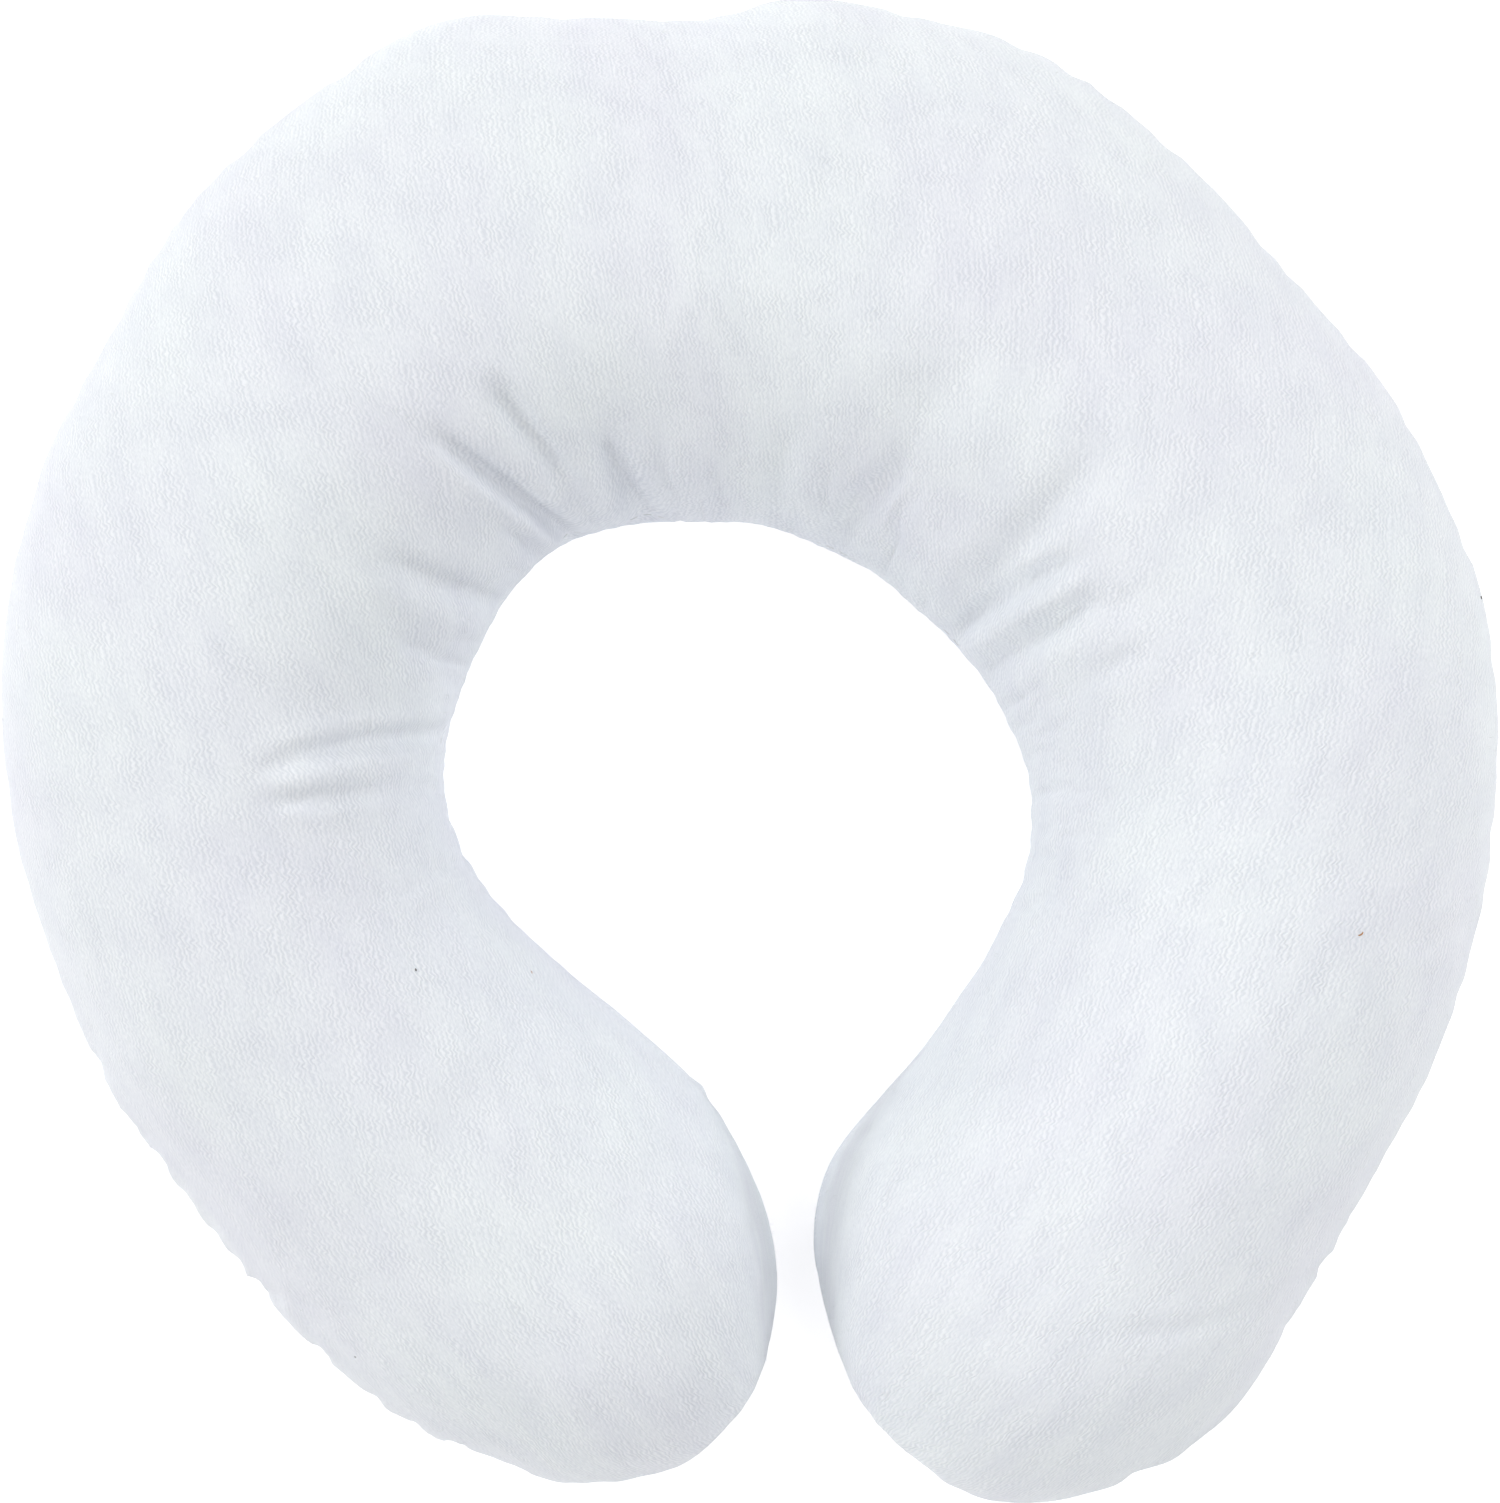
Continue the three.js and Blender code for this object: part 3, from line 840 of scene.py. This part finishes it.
def lay_out_panels(mesh, upper_flat, under_flat):
    """Writes the UV map "panel", in metres, one island for the upper panel and one for the under panel.

    Its corners come in the order of grid_faces: the quads, and then the triangles at the two tips.
    """
    here = np.concatenate([upper_flat[:, :-1], under_flat[:, :-1]], axis=1)
    there = np.concatenate([upper_flat[:, 1:], under_flat[:, 1:]], axis=1)
    quads = np.stack([here[1:-2], there[1:-2], there[2:-1], here[2:-1]], axis=2)
    first = np.stack([here[0], there[1], here[1]], axis=1)
    last = np.stack([here[-2], there[-2], here[-1]], axis=1)
    corners = np.concatenate([part.reshape(-1, 2) for part in (quads, first, last)])
    mesh.uv_layers.new(name="panel").data.foreach_set("uv", corners.ravel())


def fibre_material(name, colour, roughness, grain):
    """Spun or loose polyester fibre, which to the eye is matt and a little uneven in tone along its length.

    The grain is the size of that unevenness in metres. It is drawn coarser than single filaments, which
    are too fine to show.
    """
    material, add = new_material(name)
    place = add("ShaderNodeTexCoord", out="Object")
    inputs = {"Vector": place, "Scale": 1 / grain, "Detail": 2.0, "Roughness": 0.6}
    uneven = add("ShaderNodeTexNoise", inputs)
    inputs = {"Value": uneven, "From Min": 0.3, "From Max": 0.7, "To Min": 0.82, "To Max": 1.0}
    tone = add("ShaderNodeMapRange", inputs)
    tinted = add("ShaderNodeVectorMath", {0: tuple(colour)[:3], "Scale": tone}, operation="SCALE")
    bump = add("ShaderNodeBump", {"Height": uneven, "Strength": 0.3, "Distance": grain / 4})
    shader = add(
        "ShaderNodeBsdfPrincipled",
        {
            "Base Color": tinted,
            "Roughness": roughness,
            "IOR": 1.5,
            "Specular IOR Level": 0.2,
            "Sheen Weight": 0.1,
            "Normal": bump,
        },
    )
    add("ShaderNodeOutputMaterial", {"Surface": shader})
    return material


def new_geometry_tree(name, kinds):
    """A geometry tree with inputs of these kinds, the function that adds a node to it, and the inputs."""
    tree = bpy.data.node_groups.new(name, "GeometryNodeTree")
    tree.interface.new_socket("Geometry", in_out="OUTPUT", socket_type="NodeSocketGeometry")
    for label, kind in {"Geometry": "Geometry", **kinds}.items():
        tree.interface.new_socket(label, in_out="INPUT", socket_type=f"NodeSocket{kind}")
    add = partial(add_node, tree)
    return tree, add, add("NodeGroupInput").node.outputs


def grown_on(carrier, tree, values):
    """A new object with the plain mesh that a geometry tree makes on a carrier, its inputs set by name."""
    modifier = carrier.modifiers.new(tree.name, "NODES")
    modifier.node_group = tree
    for socket in tree.interface.items_tree:
        if socket.in_out == "INPUT" and socket.name in values:
            modifier[socket.identifier] = values[socket.name]
    graph = bpy.context.evaluated_depsgraph_get()
    mesh = bpy.data.meshes.new_from_object(carrier.evaluated_get(graph), depsgraph=graph)
    carrier.modifiers.remove(modifier)
    if not mesh.polygons:
        raise RuntimeError(f"{tree.name} made nothing")
    mesh.name = tree.name
    return new_object(tree.name, mesh)


def made_cushion():
    """The finished cushion, which the stitches, fibres and lint are laid on."""
    cushion = bpy.data.objects.get("cushion")
    if cushion is None:
        raise RuntimeError("The cushion has to be made first")
    return cushion


def seam_line(cushion, lift):
    """The closed line of the seam on the finished cushion, lifted off the cloth, as a mesh of edges."""
    around = 4 * PANEL_COLUMNS
    points = mesh_points(cushion.data)
    normals = np.empty(points.size)
    cushion.data.vertices.foreach_get("normal", normals)
    lifted = points + lift * normals.reshape(-1, 3)
    inside = lifted[1:-1].reshape(-1, around, 3)
    line = np.vstack([lifted[:1], inside[:, 0], lifted[-1:], inside[::-1, around // 2]])
    count = len(line)
    mesh = bpy.data.meshes.new("seam_line")
    mesh.from_pydata(line.tolist(), [(i, (i + 1) % count) for i in range(count)], [])
    return mesh


def thread_ring(add, thickness, sides):
    """The outline of a thread or fibre, cut across."""
    radius = add("ShaderNodeMath", {0: thickness, 1: 0.5}, operation="MULTIPLY")
    return add("GeometryNodeCurvePrimitiveCircle", {"Resolution": sides, "Radius": radius})


def stitch_tree():
    """Thread capsules at an even pitch along a closed line."""
    kinds = {"Pitch": "Float", "Length": "Float", "Thickness": "Float", "Thread": "Material"}
    tree, add, given = new_geometry_tree("stitches", kinds)
    half = add("ShaderNodeMath", {0: given["Length"], 1: 0.5}, operation="MULTIPLY")
    start, end = (
        add("ShaderNodeVectorMath", {0: (0, 0, way), "Scale": half}, operation="SCALE") for way in (-1, 1)
    )
    line = add("GeometryNodeCurvePrimitiveLine", {"Start": start, "End": end})
    line = add("GeometryNodeResampleCurve", {"Curve": line, "Count": 7})
    along = add("GeometryNodeSplineParameter")
    back = add("ShaderNodeMath", {0: 1.0, 1: along}, operation="SUBTRACT")
    bulge = add("ShaderNodeMath", {0: along, 1: back}, operation="MULTIPLY")
    bulge = add("ShaderNodeMath", {0: bulge, 1: 0.2}, operation="POWER")
    ring = thread_ring(add, given["Thickness"], 6)
    capsule = add("GeometryNodeCurveToMesh", {"Curve": line, "Profile Curve": ring, "Scale": bulge})
    seam = add("GeometryNodeMeshToCurve", {"Mesh": given["Geometry"]})
    places = add("GeometryNodeCurveToPoints", {"Curve": seam, "Length": given["Pitch"]}, mode="LENGTH")
    inputs = {"Points": places, "Instance": capsule, "Rotation": places.node.outputs["Rotation"]}
    finish(add, add("GeometryNodeInstanceOnPoints", inputs), given["Thread"])
    return tree


def fibre_tree():
    """Short curved fibres scattered over a mesh above a height, each standing on the cloth."""
    kinds = dict.fromkeys(("Density", "Length", "Thickness", "Lowest"), "Float")
    tree, add, given = new_geometry_tree("loose_pile", {**kinds, "Seed": "Int", "Fibre": "Material"})
    seed = given["Seed"]
    height = add("ShaderNodeSeparateXYZ", {0: add("GeometryNodeInputPosition")}, out="Z")
    inputs = {"A": height, "B": given["Lowest"]}
    high = add("FunctionNodeCompare", inputs, data_type="FLOAT", operation="GREATER_THAN")
    inputs = {"Mesh": given["Geometry"], "Selection": high, "Density": given["Density"], "Seed": seed}
    places = add("GeometryNodeDistributePointsOnFaces", inputs, distribute_method="RANDOM")
    bend = {"Resolution": 2}
    for end, share in zip(("Start", "Start Handle", "End Handle", "End"), FIBRE_CURVE, strict=True):
        bend[end] = add("ShaderNodeVectorMath", {0: share, "Scale": given["Length"]}, operation="SCALE")
    curve = add("GeometryNodeCurvePrimitiveBezierSegment", bend)
    ring = thread_ring(add, given["Thickness"], 3)
    fibre = add("GeometryNodeCurveToMesh", {"Curve": curve, "Profile Curve": ring, "Fill Caps": True})
    inputs = {0: (-FIBRE_TILT, -FIBRE_TILT, 0), 1: (FIBRE_TILT, FIBRE_TILT, 2 * math.pi), "Seed": seed}
    turn = add("FunctionNodeRandomValue", inputs, data_type="FLOAT_VECTOR")
    turn = add("FunctionNodeEulerToRotation", {"Euler": turn})
    inputs = {"Rotation": places.node.outputs["Rotation"], "Rotate By": turn}
    stands = add("FunctionNodeRotateRotation", inputs, rotation_space="LOCAL")
    inputs = {2: FIBRE_SHORTEST, 3: FIBRE_LONGEST, "Seed": seed}
    size = add("FunctionNodeRandomValue", inputs, out=1, data_type="FLOAT")
    inputs = {"Points": places, "Instance": fibre, "Rotation": stands, "Scale": size}
    finish(add, add("GeometryNodeInstanceOnPoints", inputs), given["Fibre"])
    return tree


def finish(add, instances, material):
    """Ends a geometry tree: its instances made real, with their material."""
    real = add("GeometryNodeRealizeInstances", {"Geometry": instances})
    dressed = add("GeometryNodeSetMaterial", {"Geometry": real, "Material": material})
    add("NodeGroupOutput", {"Geometry": dressed})


class PILLOW_OT_stitches(bpy.types.Operator):
    """Sews small stitches into the valley of the cushion's seam, all the way round"""

    bl_idname = "neck_pillow.stitches"
    bl_label = "Stitches"

    def execute(self, context):
        sizes, colours = context.scene.pillow_sizes, context.scene.pillow_colours
        thread = fibre_material("sewing_thread_polyester", colours.thread, 0.6, 0.25 * MM)
        seam = new_object("seam_line", seam_line(made_cushion(), sizes.thread_thickness / 4))
        values = {
            "Pitch": sizes.stitch_pitch,
            "Length": sizes.stitch_length,
            "Thickness": sizes.thread_thickness,
            "Thread": thread,
        }
        stitches = grown_on(seam, stitch_tree(), values)
        bpy.data.objects.remove(seam)
        stitches.data.shade_smooth()
        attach(stitches, BODY)
        return {"FINISHED"}


class PILLOW_OT_loose_pile(bpy.types.Operator):
    """Scatters the loose fibres that stand out of the velour's pile"""

    bl_idname = "neck_pillow.loose_pile"
    bl_label = "Loose pile"

    def execute(self, context):
        sizes = context.scene.pillow_sizes
        pile = fibre_material("pile_fibre_polyester", context.scene.pillow_colours.pile, 0.8, 2 * MM)
        values = {
            "Density": sizes.fibre_count / DECIMETRE**2,
            "Length": sizes.fibre_length,
            "Thickness": sizes.fibre_thickness,
            "Lowest": FIBRES_ABOVE * MM,
            "Seed": FIBRE_SEED,
            "Fibre": pile,
        }
        fibres = grown_on(made_cushion(), fibre_tree(), values)
        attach(fibres, BODY)
        return {"FINISHED"}


def lint_grid(speck, surface):
    """One curled fibre lying on the cloth, as a grid of points that is closed at both ends."""
    above = Vector((speck["x"] * MM, speck["y"] * MM, ABOVE_ALL))
    place, normal = surface.ray_cast(above, Vector((0, 0, -1)))[:2]
    if place is None:
        place, normal = surface.find_nearest(Vector((above.x, above.y, SEAM_HEIGHT)))[:2]
    turn, curl = math.radians(speck["turn"]), math.radians(speck["curl"])
    ahead = Vector((math.cos(turn), math.sin(turn), 0))
    ahead = (ahead - normal * ahead.dot(normal)).normalized()
    side = normal.cross(ahead)
    share = np.linspace(-1, 1, LINT_STEPS + 1)
    heading = curl * share
    step = speck["length"] * MM / LINT_STEPS
    forward, sideways = (np.cumsum(turned(heading)) * step for turned in (np.cos, np.sin))
    forward -= forward.mean()
    sideways -= sideways.mean()
    radius = speck["thickness"] * MM / 2
    thick = radius * np.sqrt(np.clip(1 - share**4, 0, 1))
    angle = np.linspace(0, 2 * math.pi, LINT_AROUND, endpoint=False)
    ahead, side, normal = (np.array(axis) for axis in (ahead, side, normal))
    line = np.array(place) + np.outer(forward, ahead) + np.outer(sideways, side) + LINT_LIFT * radius * normal
    across = np.outer(-np.sin(heading), ahead) + np.outer(np.cos(heading), side)
    round_ = np.cos(angle)[None, :, None] * across[:, None] + np.sin(angle)[None, :, None] * normal
    return line[:, None] + thick[:, None, None] * round_


class PILLOW_OT_lint(bpy.types.Operator):
    """Lays the specks of lint on the cushion where the photograph shows them"""

    bl_idname = "neck_pillow.lint"
    bl_label = "Lint"

    def execute(self, context):
        colours = context.scene.pillow_colours
        surface = BVHTree.FromObject(made_cushion(), context.evaluated_depsgraph_get())
        for kind, colour in (("brown", colours.lint_brown), ("grey", colours.lint_grey)):
            shape = bmesh.new()
            for speck in named(LINT_COLUMNS, LINT):
                if speck["kind"] == kind:
                    mesh = mesh_from_grid("speck", lint_grid(speck, surface))
                    shape.from_mesh(mesh)
                    bpy.data.meshes.remove(mesh)
            bmesh.ops.recalc_face_normals(shape, faces=shape.faces)
            joined = bpy.data.meshes.new(f"lint_{kind}")
            shape.to_mesh(joined)
            shape.free()
            lint = new_object(f"lint_{kind}", joined)
            joined.materials.append(fibre_material(f"lint_fibre_{kind}", colour, 0.8, 0.3 * MM))
            joined.shade_smooth()
            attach(lint, BODY)
        return {"FINISHED"}


class PILLOW_OT_stage(bpy.types.Operator):
    """Sets the pale floor, the soft studio light and the camera straight above"""

    bl_idname = "neck_pillow.stage"
    bl_label = "Stage"

    def execute(self, context):
        scene = context.scene
        floor = new_object("floor", bpy.data.meshes.new("floor"))
        corners = [(FLOOR_REACH * x, FLOOR_REACH * y, 0) for x, y in ((-1, -1), (1, -1), (1, 1), (-1, 1))]
        floor.data.from_pydata(corners, [], [(0, 1, 2, 3)])
        material, add = new_material("floor_white_paper")
        shader = add(
            "ShaderNodeBsdfPrincipled",
            {
                "Base Color": linear("#FBFBFC"),
                "Roughness": 0.9,
                "Emission Color": linear("#FFFCFA"),
                "Emission Strength": FLOOR_GLOW,
            },
        )
        add("ShaderNodeOutputMaterial", {"Surface": shader})
        floor.data.materials.append(material)

        scene.world = bpy.data.worlds.new("studio_white")
        scene.world.use_nodes = True
        glow = scene.world.node_tree.nodes["Background"].inputs
        glow["Color"].default_value = linear("#FCFBFC")
        glow["Strength"].default_value = WORLD_GLOW
        aim = Vector((0, 0, SEAM_HEIGHT))
        for softbox in named(SOFTBOX_COLUMNS, SOFTBOXES):
            light = bpy.data.lights.new(softbox["name"], "AREA")
            light.shape = "SQUARE"
            light.size = softbox["side"]
            light.energy = softbox["watts"]
            lamp = bpy.data.objects.new(softbox["name"], light)
            scene.collection.objects.link(lamp)
            lamp.visible_camera = False
            turned, raised = math.radians(softbox["round"]), math.radians(softbox["above"])
            flat = math.cos(raised)
            towards = Vector((flat * math.cos(turned), flat * math.sin(turned), math.sin(raised)))
            away = towards * softbox["away"]
            turn = (-away).to_track_quat("-Z", "Y").to_matrix().to_4x4()
            lamp.matrix_world = Matrix.Translation(aim + away) @ turn

        low, high = CAD_BOX
        camera_data = bpy.data.cameras.new("camera_overhead")
        camera_data.lens = LENS_MM
        camera_data.sensor_width = SENSOR_MM
        camera_data.sensor_fit = "AUTO"
        camera = bpy.data.objects.new("camera_overhead", camera_data)
        scene.collection.objects.link(camera)
        metres_per_px = (high.x - low.x) / (PILLOW_RIGHT_PX - PILLOW_LEFT_PX)
        frame_side = metres_per_px * max(IMAGE_WIDTH_PX, IMAGE_HEIGHT_PX)
        distance = frame_side * LENS_MM / SENSOR_MM
        off_x = ((PILLOW_LEFT_PX + PILLOW_RIGHT_PX) / 2 - IMAGE_WIDTH_PX / 2) * metres_per_px
        off_y = ((PILLOW_TOP_PX + PILLOW_BOTTOM_PX) / 2 - IMAGE_HEIGHT_PX / 2) * metres_per_px
        middle = (low + high) / 2
        camera.location = (middle.x - off_x, middle.y + off_y, SEAM_HEIGHT + distance)
        scene.camera = camera
        scene.view_settings.view_transform = "Standard"
        return {"FINISHED"}


class PILLOW_PT_panel(bpy.types.Panel):
    """Lists the pillow's pieces"""

    bl_idname = "PILLOW_PT_panel"
    bl_label = "Neck pillow"
    bl_space_type = "VIEW_3D"
    bl_region_type = "UI"
    bl_category = "Pillow"

    def draw(self, context):
        for group in (context.scene.pillow_sizes, context.scene.pillow_colours):
            for name in group.__annotations__:
                self.layout.prop(group, name)
        for operator in OPERATORS:
            self.layout.operator(operator.bl_idname)


OPERATORS = (PILLOW_OT_cushion, PILLOW_OT_stitches, PILLOW_OT_loose_pile, PILLOW_OT_lint, PILLOW_OT_stage)
CLASSES = (PillowSizes, PillowColours, *OPERATORS, PILLOW_PT_panel)


def register():
    for made in CLASSES:
        bpy.utils.register_class(made)
    bpy.types.Scene.pillow_sizes = PointerProperty(type=PillowSizes)
    bpy.types.Scene.pillow_colours = PointerProperty(type=PillowColours)


def unregister():
    del bpy.types.Scene.pillow_sizes
    del bpy.types.Scene.pillow_colours
    for made in reversed(CLASSES):
        bpy.utils.unregister_class(made)


def main():
    register()
    bpy.ops.neck_pillow.cushion()
    bpy.ops.neck_pillow.stitches()
    bpy.ops.neck_pillow.loose_pile()
    bpy.ops.neck_pillow.lint()
    bpy.ops.neck_pillow.stage()


if __name__ == "__main__":
    main()
